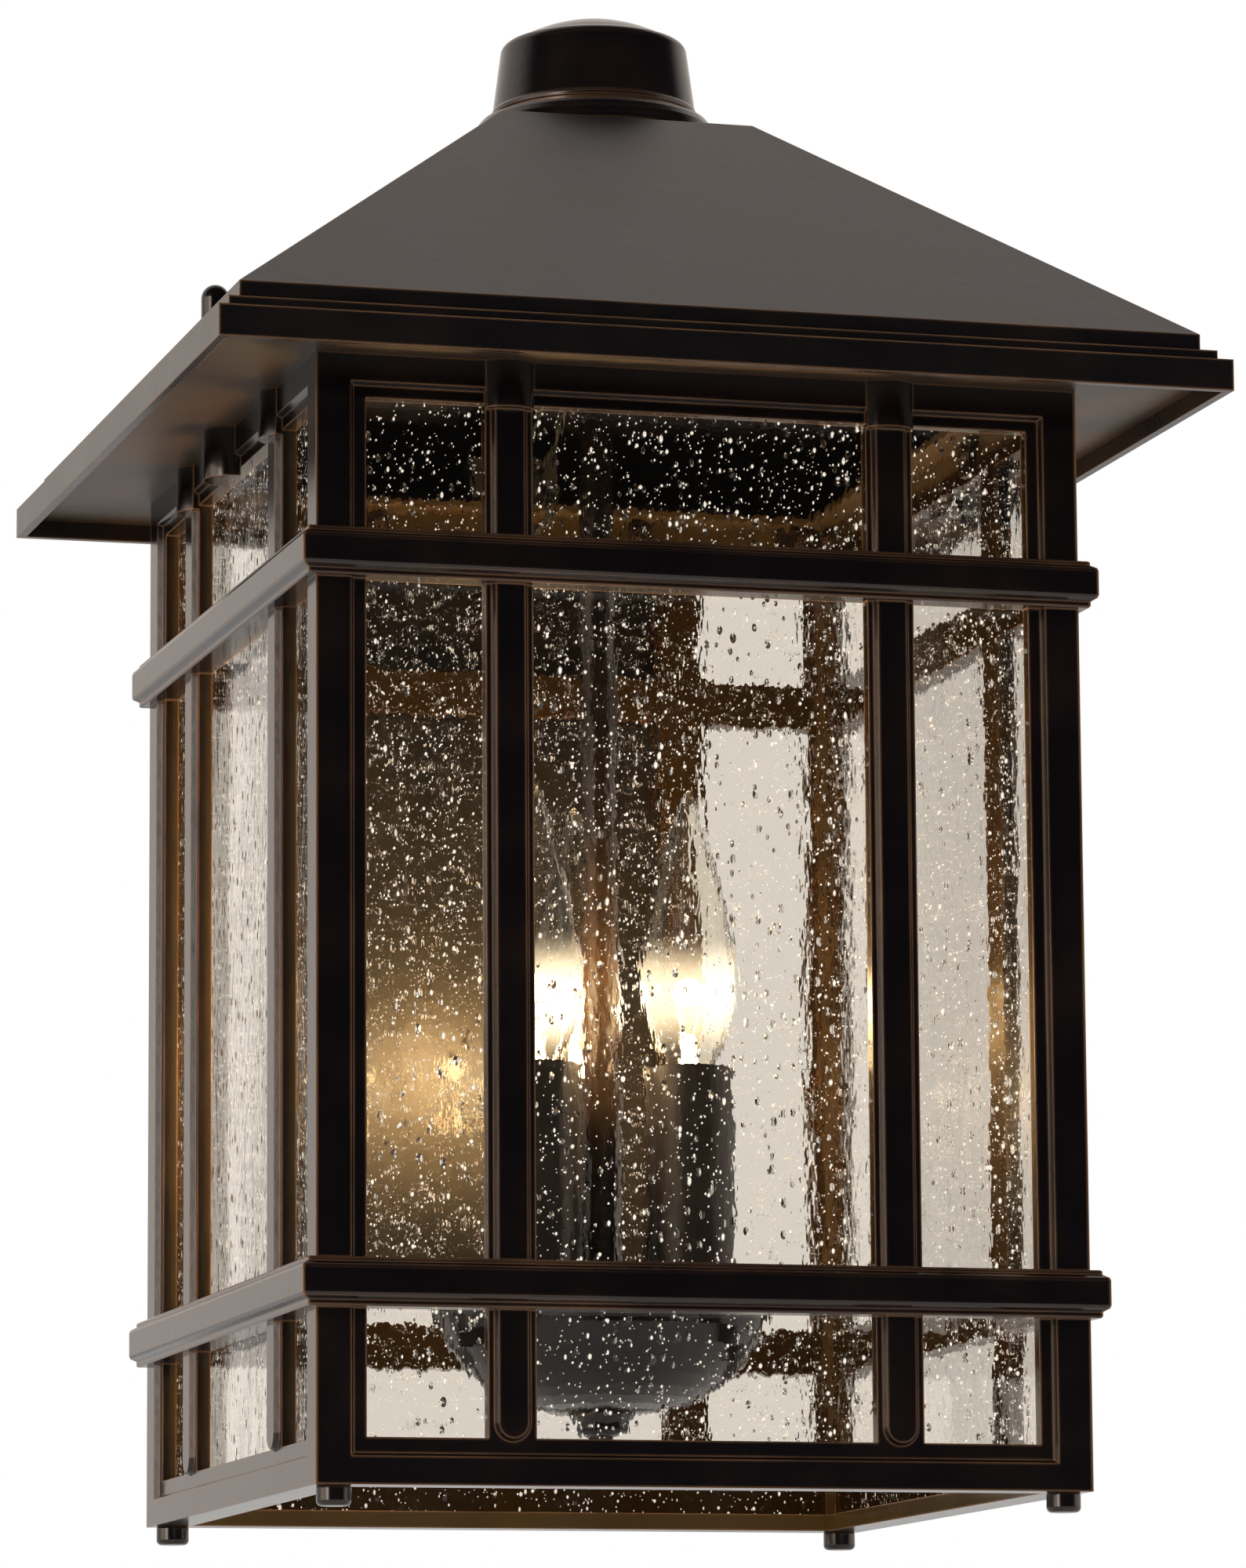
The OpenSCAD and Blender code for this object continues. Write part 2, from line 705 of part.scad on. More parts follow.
// The flange sits on the roof's flat top, with a bead at its foot and a groove under the cap
module cap_flange() color(bronze) at_cage() translate([0, 0, flange_z]) difference() {
  rotate_extrude($fn = 96) polygon([
    [0, 0],
    [flange_r - 0.5, 0],
    [flange_r, 0.6],
    [flange_r - 0.2, flange_h * 0.26],
    [flange_r - 0.9, flange_h * 0.5],
    [flange_r - 2, flange_h * 0.7],
    [flange_r - 2.8, flange_h * 0.8],
    [cap_foot_r + 0.6, flange_h * 0.86],
    [cap_foot_r - 0.4, flange_h * 0.9],
    [cap_foot_r - 0.4, flange_h],
    [0, flange_h]
  ]);
  translate([0, 0, -past]) cylinder(h = flange_h + 2 * past, r = tube_r + pass_gap);
  translate([0, 0, -past]) difference() {
    cylinder(h = flange_h - cap_t + past, r = cap_foot_r - cap_t);
    cylinder(h = flange_h, r = nut_washer_r);
  }
}

module roof_cap() color(bronze) at_cage() translate([0, 0, cap_z]) difference() {
  rotate_extrude($fn = 96) polygon(concat(
    [[0, 0], [cap_foot_r - 0.2, 0], [cap_foot_r, 0.3], [cap_foot_r, 1.2], [cap_foot_r - 0.4, 1.8]],
    [for (a = [0:15:75]) [
      cap_top_r - cap_edge_r + cap_edge_r * cos(a),
      cap_side_h - cap_edge_r + cap_edge_r * sin(a)
    ]],
    [for (i = [0:6]) let (r = (cap_top_r - cap_edge_r) * (1 - i / 6))
      [r, cap_side_h + cap_dome_h * (1 - pow(r / (cap_top_r - cap_edge_r), 2))]]
  ));
  difference() {
    translate([0, 0, -past])
      cylinder(h = cap_side_h - cap_t + past, r1 = cap_foot_r - cap_t, r2 = cap_top_r - cap_t);
    translate([0, 0, cap_boss_z - cap_z]) cylinder(h = cap_side_h, r = nut_washer_r);
  }
  translate([0, 0, -past]) cylinder(h = rod_top_z - cap_z + past + 0.5, r = tube_r + thread_gap);
}

// Cluster

module centre_rod() color(bronze) at_cage() difference() {
  translate([0, 0, rod_foot_z]) cylinder(h = rod_top_z - rod_foot_z, r = tube_r);
  translate([0, 0, rod_foot_z - past]) cylinder(h = rod_top_z - rod_foot_z + 2 * past, r = tube_bore_r);
  translate([0, 2 * tube_r, lead_slot_z]) rotate([90, 90, 0]) linear_extrude(2 * tube_r)
    oblong(lead_slot_h, 2 * lead_hole_r);
  for (turn = candle_turns) rotate([0, 0, turn]) translate([0, 0, ring_lead_z]) rotate([0, 90, 0])
    cylinder(h = 2 * tube_r, r = lead_hole_r);
}

// Washer and nut under the ceiling, nut and washer over the flange, nut on the bowl's cover
module rod_nuts() color(steel) at_cage() {
  bore = tube_r + thread_gap;
  translate([0, 0, ceiling_z - nut_washer_t]) difference() {
    cylinder(h = nut_washer_t, r = nut_washer_r);
    translate([0, 0, -past]) cylinder(h = nut_washer_t + 2 * past, r = bore);
  }
  translate([0, 0, ceiling_z - nut_washer_t - nut_h]) hex_nut(nut_r, nut_h, bore);
  translate([0, 0, cap_z]) difference() {
    cylinder(h = nut_washer_t, r = nut_washer_r);
    translate([0, 0, -past]) cylinder(h = nut_washer_t + 2 * past, r = bore);
  }
  translate([0, 0, cap_z + nut_washer_t]) hex_nut(nut_r, nut_h, bore);
  translate([0, 0, cover_top_z]) hex_nut(nut_r, nut_h, bore);
}

// Half profile of the bowl, from the middle of its foot out to the rim, drawn in by a wall
function bowl_curve(wall) = curve([
  [bowl_flat_r, bowl_foot_z + wall],
  [bowl_r * 0.62, bowl_foot_z + wall],
  [bowl_r - bowl_flare - wall, bowl_foot_z + bowl_depth * 0.41],
  [bowl_r - wall, bowl_rim_z]
], 10);

module cluster_bowl() color(bronze) at_cage() difference() {
  rotate_extrude($fn = 96) polygon(concat(
    [[0, bowl_foot_z]],
    bowl_curve(0),
    reversed(bowl_curve(bowl_t)),
    [[0, bowl_foot_z + bowl_t]]
  ));
  translate([0, 0, bowl_foot_z - past]) cylinder(h = bowl_t + 2 * past, r = tube_r + pass_gap);
}

module bowl_cover() color(bronze) at_cage() difference() {
  rotate_extrude($fn = 96) polygon([
    [0, cover_z],
    [bowl_r + 0.2, cover_z],
    [bowl_r + 0.2, cover_z - 2],
    [bowl_r + 1, cover_z - 2],
    [bowl_r + 1.3, cover_z - 1.4],
    [bowl_r + 1.3, cover_top_z - 0.7],
    [bowl_r + 0.7, cover_top_z],
    [0, cover_top_z]
  ]);
  translate([0, 0, cover_z - past]) cylinder(h = bowl_t + 2 * past, r = tube_r + pass_gap);
  each_candle() translate([0, 0, cover_z - past]) cylinder(h = bowl_t + 2 * past, r = tube_r + pass_gap);
}

// The stem screws onto the rod from below and clamps the bowl
module stem_finial() color(bronze) at_cage() difference() {
  translate([0, 0, bowl_foot_z]) rotate_extrude() polygon(concat(
    [[0, 0], [stem_r + 2, 0], [stem_r + 2, -0.1 * stem_h], [stem_r + 0.4, -0.24 * stem_h]],
    [[stem_r, -0.34 * stem_h]],
    [for (a = [0:15:90]) [stem_r - 2.2 + 2.2 * cos(a), -0.47 * stem_h - 2.2 * sin(a)]],
    [[3.4, -0.72 * stem_h]],
    [for (a = [0:15:90]) [3.2 * cos(a), 2.4 - stem_h - 2.4 * sin(a)]]
  ));
  translate([0, 0, rod_foot_z - 0.5]) cylinder(h = bowl_foot_z - rod_foot_z + past, r = tube_r + thread_gap);
}

module socket_tubes() color(steel) at_cage() each_candle() difference() {
  translate([0, 0, socket_tube_z]) cylinder(h = socket_z - socket_tube_z, r = tube_r);
  translate([0, 0, socket_tube_z - past])
    cylinder(h = socket_z - socket_tube_z + 2 * past, r = tube_bore_r);
}

module socket_nuts() color(steel) at_cage() each_candle() {
  translate([0, 0, cover_z - nut_h]) hex_nut(nut_r, nut_h, tube_r + thread_gap);
  translate([0, 0, cover_top_z]) hex_nut(nut_r, nut_h, tube_r + thread_gap);
}

module sockets() color("#1c1c1c") at_cage() each_candle() difference() {
  translate([0, 0, socket_z]) cylinder(h = socket_h, r = socket_r);
  translate([0, 0, socket_z + socket_floor]) cylinder(h = socket_h, r = socket_bore_r);
  translate([0, 0, socket_z - past]) cylinder(h = socket_floor + 2 * past, r = tube_bore_r - 1);
}

// A spring tab bridges the hole in a lamp holder's floor and meets the bulb's centre contact
module contact_tabs() color(brass) at_cage() each_candle()
  translate([-3.4, -2, socket_z + socket_floor]) cube([6.8, 4, tab_h]);

module candle_sleeves() color("#241a15") at_cage() each_candle() translate([0, 0, cover_top_z]) difference() {
  cylinder(h = sleeve_h, r = sleeve_r);
  translate([0, 0, -past]) cylinder(h = sleeve_h + 2 * past, r = sleeve_r - sleeve_t);
}

// Bulbs. The glass is a thin closed shell; w is its inward offset

function bulb_belly(w) = curve([
  [neck_r - w, neck_z + w],
  [neck_r - w + 0.8, neck_z + bulb_h * 0.08],
  [bulb_r - w, neck_z + bulb_h * 0.15],
  [bulb_r - w, neck_z + bulb_h * 0.32]
], 8);
function bulb_tip(w) = curve([
  [bulb_r - w, neck_z + bulb_h * 0.32],
  [bulb_r - w, neck_z + bulb_h * 0.55],
  [6.5 - w, neck_z + bulb_h * 0.76],
  [2.2 - w, neck_z + bulb_h * 0.97 - 2 * w]
], 12);

module bulb_glass() difference() {
  rotate_extrude() polygon(concat(
    [[0, neck_z]],
    bulb_belly(0),
    bulb_tip(0),
    [[1.2, neck_z + bulb_h * 0.99], [0, neck_z + bulb_h]]
  ));
  rotate_extrude() polygon(concat(
    [[0, neck_z + bulb_t]],
    bulb_belly(bulb_t),
    bulb_tip(bulb_t),
    [[0, neck_z + bulb_h * 0.97 - 2 * bulb_t]]
  ));
}

// A screw base: a ridged shell, an insulating foot and the centre contact
module bulb_base() translate([0, 0, base_z]) rotate_extrude() polygon(concat(
  [[0, 0], [2, 0], [2.3, 0.6], [2.3, 1.2], [3.6, 3]],
  [for (i = [0:20]) [base_r - 0.35 + 0.35 * cos(180 * i), 4 + (base_h - 6) * i / 20]],
  [[base_r, base_h - 1], [base_r, base_h], [0, base_h]]
));

// The glass mount, its two support wires and the filament between them
module bulb_filament() {
  stem_z = neck_z + bulb_t + 3.9;
  translate([0, 0, neck_z + bulb_t]) cylinder(h = 4, r1 = 4.2, r2 = 2.2);
  translate([0, 0, stem_z]) cylinder(h = filament_z - 12 - stem_z, r1 = 2.2, r2 = 1.3);
  for (s = [-1, 1]) {
    translate([s * 0.8, 0, filament_z - 13]) rotate([0, s * 14, 0]) cylinder(h = 13.4, r = 0.25);
    translate([s * 4, 0, filament_z]) sphere(0.5);
  }
  translate([-4, 0, filament_z]) rotate([0, 90, 0]) cylinder(h = 8, r = 0.45);
}

module bulb_right_glass() color(clear) at_cage() on_candle(right_turn) bulb_glass();

module bulb_back_glass() color(clear) at_cage() on_candle(back_turn) bulb_glass();

module bulb_left_glass() color(clear) at_cage() on_candle(left_turn) bulb_glass();

module bulb_right_base() color(brass) at_cage() on_candle(right_turn) bulb_base();

module bulb_back_base() color(brass) at_cage() on_candle(back_turn) bulb_base();

module bulb_left_base() color(brass) at_cage() on_candle(left_turn) bulb_base();

module bulb_right_filament() color("gold") at_cage() on_candle(right_turn) bulb_filament();

module bulb_back_filament() color("gold") at_cage() on_candle(back_turn) bulb_filament();

module bulb_left_filament() color("gold") at_cage() on_candle(left_turn) bulb_filament();

// Wall side. These are drawn about the cage's axis, with the wall at wall_y

module rounded_plate(w, h, r) {
  square([w - 2 * r, h], center = true);
  square([w, h - 2 * r], center = true);
  for (x = [-1, 1], z = [-1, 1]) translate([x * (w / 2 - r), z * (h / 2 - r)]) circle(r);
}

// An upright slab between two depths
module slab(y0, y1) translate([0, y1, mount_z]) rotate([90, 0, 0]) linear_extrude(y1 - y0) children();

module wall_plate() color(bronze) at_cage() difference() {
  slab(plate_front_y, plate_back_y) rounded_plate(plate_w, plate_h, plate_r);
  slab(plate_front_y + plate_t, plate_back_y + past)
    rounded_plate(plate_w - 2 * plate_t, plate_h - 2 * plate_t, plate_r - plate_t / 2);
  for (s = [-1, 1]) {
    for (z = spacer_z) translate([s * spacer_x, plate_front_y - past, z])
      rotate([-90, 0, 0]) cylinder(h = plate_t + 2 * past, r = screw_r + pass_gap);
    translate([s * plate_half, ear_hole_y, mount_z]) rotate([0, 90, 0])
      cylinder(h = 4 * plate_t, r = screw_r + pass_gap, center = true);
  }
  translate([0, plate_front_y + plate_t + past, bush_z]) rotate([90, 0, 0])
    linear_extrude(plate_t + 2 * past) oblong(bush_w + 2 * bush_gap, bush_h + 2 * bush_gap);
}

module plate_gasket() color("#303030") at_cage() difference() {
  slab(plate_back_y, wall_y) rounded_plate(plate_w, plate_h, plate_r);
  slab(plate_back_y - past, wall_y + past)
    rounded_plate(plate_w - 2 * gasket_w, plate_h - 2 * gasket_w, plate_r);
}

module mounting_strap() color(steel) at_cage() difference() {
  union() {
    translate([-strap_half + gasket_w, wall_y - strap_t, mount_z - strap_h / 2])
      cube([2 * (strap_half - gasket_w), strap_t, strap_h]);
    for (s = [-1, 1]) translate([s > 0 ? strap_half - gasket_w - strap_t : -strap_half, 0, 0])
      translate([0, wall_y - strap_t - gasket_t, mount_z - strap_h / 2])
        cube([gasket_w + strap_t, strap_t, strap_h]);
    for (s = [-1, 1]) translate([s > 0 ? strap_half - strap_t : -strap_half, 0, 0])
      translate([0, wall_y - strap_t - strap_ear, mount_z - strap_h / 2])
        cube([strap_t, strap_ear - gasket_t + 0.01, strap_h]);
  }
  for (s = [-1, 1]) {
    translate([s * box_spacing / 2, wall_y + past, mount_z]) rotate([90, 0, 0])
      linear_extrude(strap_t + 2 * past) oblong(box_slot_l, 2 * box_slot_r);
    translate([s * strap_half, ear_hole_y, mount_z]) rotate([0, 90, 0])
      cylinder(h = 4 * strap_t, r = screw_r + thread_gap, center = true);
  }
  translate([-20, wall_y + past, mount_z]) rotate([90, 0, 0])
    cylinder(h = strap_t + 2 * past, r = screw_r + thread_gap);
}

module side_screws() color(bronze) at_cage() for (s = [-1, 1])
  translate([s * plate_half, ear_hole_y, mount_z]) rotate([0, s * 90, 0])
    screw(screw_r, plate_t + pass_gap + strap_t + 3, head_r, head_h);

module ground_screw() color("#4f8a4a") at_cage() translate([-20, wall_y - strap_t, mount_z])
  rotate([90, 0, 0]) screw(screw_r, strap_t, head_r, head_h);

module spacers() color(bronze) at_cage() for (s = [-1, 1], z = spacer_z)
  translate([s * spacer_x, half, z]) rotate([-90, 0, 0]) difference() {
    cylinder(h = spacer_h, r = spacer_r);
    translate([0, 0, -past]) cylinder(h = spacer_h + 2 * past, r = screw_r + pass_gap);
  }

module spacer_screws() color(steel) at_cage() for (s = [-1, 1], z = spacer_z)
  translate([s * spacer_x, plate_front_y + plate_t, z]) rotate([-90, 0, 0])
    screw(screw_r, plate_t + spacer_h + seat_y - 1.5, head_r, head_h);

module wire_bush() color("#1c1c1c") at_cage()
  translate([0, plate_front_y + plate_t + 1, bush_z]) rotate([90, 0, 0])
    linear_extrude(plate_front_y + plate_t + 1 - inner_half + 1) difference() {
      oblong(bush_w, bush_h);
      oblong(bush_w - 2 * bush_t, bush_h - 2 * bush_t);
    }

// Leads

// A round lead along a list of points. Its runs stop short of each bend, inside a fuller ball
module lead(points, r) {
  last = len(points) - 2;
  for (i = [0:last]) {
    v = points[i + 1] - points[i];
    start = i == 0 ? 0 : 0.6 * r;
    stop = i == last ? 0 : 0.6 * r;
    translate(points[i]) rotate([0, acos(v[2] / norm(v)), atan2(v[1], v[0])])
      translate([0, 0, start]) cylinder(h = norm(v) - start - stop, r = r, $fn = 16);
  }
  for (i = [1:last]) translate(points[i]) sphere(r * 1.25, $fn = 16);
}

// The supply pair runs from the wall box through the wire bush and up into the terminal block
module supply_wires() color("#e8e4da") at_cage() for (s = [-1, 1]) lead([
  [s * 5.5 * lead_spread, wall_y - 0.5, mount_z + 1.2 * strap_h],
  [s * 5 * lead_spread, wall_y - 0.38 * plate_d, mount_z + 1.6 * strap_h],
  [s * 2.7 * lead_spread, wall_y - 0.54 * plate_d, mount_z + 0.31 * plate_h],
  [s * lead_spread, wall_y - 0.48 * plate_d, bush_z - 0.045 * plate_h],
  [s * lead_spread, plate_front_y + 0.2 * plate_d, bush_z],
  [s * lead_spread, inner_half - 1.2 * frame_t, bush_z],
  [s * block_pitch, 0.9 * soffit_open, (bush_z + land_z) / 2],
  [s * block_pitch, 0.9 * soffit_open, land_z],
  [s * block_pitch, 0.945 * soffit_open, supply_row_z],
  [s * block_pitch, block_y + block_hole - turn_gap, supply_row_z]
], lead_r);

// The block sits on the soffit plate; the supply enters its lower row and the candles' leads its upper
module terminal_block() color("#e9e6dc") at_cage() difference() {
  translate([-block_w / 2, block_y, land_z]) cube([block_w, block_d, block_h]);
  for (s = [-1, 1]) translate([s * block_pitch, block_y - past, supply_row_z]) rotate([-90, 0, 0])
    cylinder(h = block_hole + past, r = lead_r + pass_gap);
  for (s = [-1:1]) translate([s * block_pitch, block_y - past, ring_row_z]) rotate([-90, 0, 0])
    cylinder(h = block_hole + past, r = ring_lead_r + pass_gap);
  for (s = [-1:1]) translate([s * block_pitch, block_y + block_d / 2, land_z + block_h - 2.5])
    cylinder(h = block_h, r = 2);
}

function round_axis(turn, r, z) = [r * cos(turn), r * sin(turn), z];

// A twin lead from one lamp holder: down its tube, across to the rod, up the rod, and out to the block.
// The place of its end in the block's row is -1, 0 or 1, and its exit from the rod has a level of its own
module candle_lead(turn, place, level) lead([
  round_axis(turn, candle_ring_r, socket_z + socket_floor - 0.5),
  round_axis(turn, candle_ring_r, socket_tube_z),
  round_axis(turn, candle_ring_r - 4, ring_lead_z),
  round_axis(turn, tube_r + 2, ring_lead_z),
  round_axis(turn, ring_lead_in, ring_lead_z),
  round_axis(turn, ring_lead_in, lead_slot_z + level),
  [0, tube_r + 2, lead_slot_z + level],
  [place * block_pitch, 0.745 * soffit_open, ring_row_z + 0.57 * block_h],
  [place * block_pitch, block_y - 0.6 * block_d, ring_row_z],
  [place * block_pitch, block_y + block_hole - turn_gap, ring_row_z]
], ring_lead_r);

module cluster_wires() color("#5a4a3a") at_cage() {
  candle_lead(back_turn, 0, -2.6);
  candle_lead(left_turn, -1, 0);
  candle_lead(right_turn, 1, 2.6);
}

wall_plate();
plate_gasket();
mounting_strap();
side_screws();
ground_screw();
spacers();
spacer_screws();
wire_bush();
front_frame();
back_frame();
left_frame();
right_frame();
corner_cleats();
cleat_screws();
feet();
glass_front();
glass_back();
glass_left();
glass_right();
glass_clips();
clip_screws();
roof_studs();
roof_shell();
soffit_plate();
knob_washers();
left_knob();
right_knob();
cap_flange();
roof_cap();
centre_rod();
rod_nuts();
cluster_bowl();
bowl_cover();
stem_finial();
socket_tubes();
socket_nuts();
sockets();
contact_tabs();
candle_sleeves();
bulb_right_glass();
bulb_back_glass();
bulb_left_glass();
bulb_right_base();
bulb_back_base();
bulb_left_base();
bulb_right_filament();
bulb_back_filament();
bulb_left_filament();
cluster_wires();
supply_wires();
terminal_block();
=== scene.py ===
import json
import math
import random

import bpy
import numpy as np
from mathutils import Matrix, Vector

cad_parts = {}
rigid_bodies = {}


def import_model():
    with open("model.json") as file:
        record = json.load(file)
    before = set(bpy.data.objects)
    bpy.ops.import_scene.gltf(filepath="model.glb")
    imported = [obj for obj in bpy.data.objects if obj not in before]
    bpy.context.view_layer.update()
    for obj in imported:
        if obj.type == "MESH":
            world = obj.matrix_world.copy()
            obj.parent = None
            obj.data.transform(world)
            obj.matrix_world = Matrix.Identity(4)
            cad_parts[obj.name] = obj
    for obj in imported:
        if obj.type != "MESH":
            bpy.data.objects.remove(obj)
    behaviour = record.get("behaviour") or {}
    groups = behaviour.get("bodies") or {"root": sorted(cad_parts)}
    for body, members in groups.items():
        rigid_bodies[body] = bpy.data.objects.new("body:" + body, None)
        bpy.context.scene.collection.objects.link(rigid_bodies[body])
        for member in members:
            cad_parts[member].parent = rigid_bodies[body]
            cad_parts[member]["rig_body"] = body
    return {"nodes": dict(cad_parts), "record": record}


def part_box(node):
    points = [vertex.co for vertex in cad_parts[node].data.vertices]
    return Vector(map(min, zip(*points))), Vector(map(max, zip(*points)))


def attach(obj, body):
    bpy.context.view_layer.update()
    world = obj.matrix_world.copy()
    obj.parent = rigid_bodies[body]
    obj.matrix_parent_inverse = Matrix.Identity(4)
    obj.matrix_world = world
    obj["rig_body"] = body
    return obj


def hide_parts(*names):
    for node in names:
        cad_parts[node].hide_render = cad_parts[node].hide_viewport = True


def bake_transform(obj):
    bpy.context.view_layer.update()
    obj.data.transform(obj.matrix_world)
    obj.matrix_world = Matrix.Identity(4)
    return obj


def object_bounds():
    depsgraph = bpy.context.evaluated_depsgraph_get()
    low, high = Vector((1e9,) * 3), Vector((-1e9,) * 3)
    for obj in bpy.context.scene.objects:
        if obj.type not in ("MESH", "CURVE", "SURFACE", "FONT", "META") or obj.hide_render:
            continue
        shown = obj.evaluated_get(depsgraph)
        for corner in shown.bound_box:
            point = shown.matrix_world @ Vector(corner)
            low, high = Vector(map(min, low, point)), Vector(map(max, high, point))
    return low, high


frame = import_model()
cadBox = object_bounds()
nodes = frame["nodes"]
scene = bpy.context.scene
scene.view_settings.view_transform = "Standard"

cageMiddleY = (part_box("front_frame")[0].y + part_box("back_frame")[1].y) / 2
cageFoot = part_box("front_frame")[0].z
print("stage: frame loaded")


# Camera, fitted to the cage's straight edges in the photograph

viewpoint = {
    "imageHeight": 2000,  # pixels
    "focal": 8891.772,  # pixels
    "yaw": 15.726,  # degrees, the camera stands to the left
    "pitch": 9.122,  # degrees, looking up
    "roll": 0.385,
    "cageShift": (-0.005701, -0.200369, 1.923357),  # metres, in the camera's right, up and forward
    "sensor": 36.0,
}


def addCamera(v):
    c, s = math.cos(math.radians(v["yaw"])), math.sin(math.radians(v["yaw"]))
    turn = Matrix(((c, -s, 0), (s, c, 0), (0, 0, 1)))
    lay = Matrix(((1, 0, 0), (0, 0, 1), (0, 1, 0)))
    c, s = math.cos(math.radians(v["pitch"])), math.sin(math.radians(v["pitch"]))
    tilt = Matrix(((1, 0, 0), (0, c, -s), (0, s, c)))
    c, s = math.cos(math.radians(v["roll"])), math.sin(math.radians(v["roll"]))
    roll = Matrix(((c, -s, 0), (s, c, 0), (0, 0, 1)))
    toCamera = roll @ tilt @ lay @ turn
    place = -(toCamera.transposed() @ Vector(v["cageShift"])) + Vector((0, cageMiddleY, cageFoot))
    right, up, ahead = toCamera
    pose = Matrix((right, up, -ahead)).transposed().to_4x4()
    pose.translation = place
    data = bpy.data.cameras.new("photoCamera")
    data.lens = v["focal"] / v["imageHeight"] * v["sensor"]
    data.sensor_width = v["sensor"]
    data.clip_start = 0.05
    camera = bpy.data.objects.new("photoCamera", data)
    camera.matrix_world = pose
    scene.collection.objects.link(camera)
    scene.camera = camera


addCamera(viewpoint)
print("stage: camera set")


# Shader maths: a wrapped socket takes plain operators, each of which adds a Math node


class Wire:
    def __init__(self, finish, socket):
        self.finish = finish
        self.socket = socket

    def math(self, operation, *others, clamp=False):
        values = {i: v for i, v in enumerate((self,) + others)}
        return self.finish.add("ShaderNodeMath", {"operation": operation, "use_clamp": clamp}, values)

    def __add__(self, other): return self.math("ADD", other)
    def __radd__(self, other): return self.math("ADD", other)
    def __sub__(self, other): return self.math("SUBTRACT", other)
    def __rsub__(self, other): return self.math("MULTIPLY", -1.0).math("ADD", other)
    def __mul__(self, other): return self.math("MULTIPLY", other)
    def __rmul__(self, other): return self.math("MULTIPLY", other)
    def __truediv__(self, other): return self.math("DIVIDE", other)
    def __pow__(self, other): return self.math("POWER", other)

    def clamped(self):
        return self.math("ADD", 0.0, clamp=True)

    def ramp(self, low, high):  # smooth step from 0 at low to 1 at high
        settings = {"interpolation_type": "SMOOTHSTEP"}
        return self.finish.add("ShaderNodeMapRange", settings, {0: self, 1: low, 2: high, 3: 0.0, 4: 1.0})


class Finish:
    def __init__(self, name, world=False):
        self.material = bpy.data.worlds.new(name) if world else bpy.data.materials.new(name)
        self.material.use_nodes = True
        self.tree = self.material.node_tree
        self.tree.nodes.clear()
        self.out = self.tree.nodes.new("ShaderNodeOutputWorld" if world else "ShaderNodeOutputMaterial")

    def add(self, kind, settings=None, values=None, output=0):
        node = self.tree.nodes.new(kind)
        for key, value in (settings or {}).items():
            setattr(node, key, value)
        for key, value in (values or {}).items():
            socket = node.inputs[key]
            if isinstance(value, Wire):
                self.tree.links.new(value.socket, socket)
            elif isinstance(value, tuple) and len(value) == 3 and socket.type == "RGBA":
                socket.default_value = (*value, 1.0)
            else:
                socket.default_value = value
        return Wire(self, node.outputs[output])

    def place(self, stretch=(1, 1, 1)):
        spot = self.add("ShaderNodeTexCoord", output=3)
        return self.add("ShaderNodeMapping", {}, {0: spot, 3: stretch})

    def axes(self):
        node = self.add("ShaderNodeSeparateXYZ", {}, {0: self.place()}).socket.node
        return [Wire(self, node.outputs[axis]) for axis in "XYZ"]

    def noise(self, scale, detail=3.0, rough=0.55, stretch=(1, 1, 1)):
        values = {"Vector": self.place(stretch), "Scale": scale, "Detail": detail, "Roughness": rough}
        return self.add("ShaderNodeTexNoise", {}, values)

    def cells(self, scale, stretch=(1, 1, 1), output="Distance"):
        settings = {"feature": "F1", "voronoi_dimensions": "3D"}
        values = {"Vector": self.place(stretch), "Scale": scale}
        return self.add("ShaderNodeTexVoronoi", settings, values, output)

    def blend(self, mask, low, high):
        settings = {"data_type": "RGBA"}
        return self.add("ShaderNodeMix", settings, {0: mask, 6: low, 7: high}, output=2)

    def bump(self, height, depth, strength=1.0, under=None):
        values = {"Strength": strength, "Distance": depth, "Height": height}
        if under:
            values["Normal"] = under
        return self.add("ShaderNodeBump", {}, values)

    def soft(self, radius):
        return self.add("ShaderNodeBevel", {"samples": 4}, {"Radius": radius})

    def wear(self, radius):  # 0 on a flat face, towards 1 on its edges
        rounded = self.soft(radius)
        flat = self.add("ShaderNodeNewGeometry", output="True Normal")
        dot = {"operation": "DOT_PRODUCT"}
        match = self.add("ShaderNodeVectorMath", dot, {0: rounded, 1: flat}, "Value")
        return 1.0 - match

    def surface(self, **values):
        names = {key.replace("_", " "): value for key, value in values.items()}
        shader = self.add("ShaderNodeBsdfPrincipled", {}, names)
        self.show(shader)
        return shader

    def show(self, shader):
        self.tree.links.new(shader.socket, self.out.inputs["Surface"])

    def letLightThrough(self, shader, tint):  # shadow rays pass straight through
        ray = self.add("ShaderNodeLightPath", output="Is Shadow Ray")
        clear = self.add("ShaderNodeBsdfTransparent", {}, {"Color": tint})
        self.show(self.add("ShaderNodeMixShader", {}, {0: ray, 1: shader, 2: clear}))


# Materials

bronzeLook = {
    "enamel": (0.0030, 0.0019, 0.0027),
    "warmEnamel": (0.0085, 0.0046, 0.0036),
    "paintedBulbLight": (0.062, 0.038, 0.014),  # painted light: warm brown inside the cage, standing in for the bulbs' light
    "paintedBulbLightStart": 0.1045,  # distance from the cage's axis, metres
    "paintedBulbLightFull": 0.0990,
    "copper": (0.300, 0.150, 0.066),
    "edgeRadius": 0.0010,
    "roundRadius": 0.00025,
    "gloss": 0.14,
}


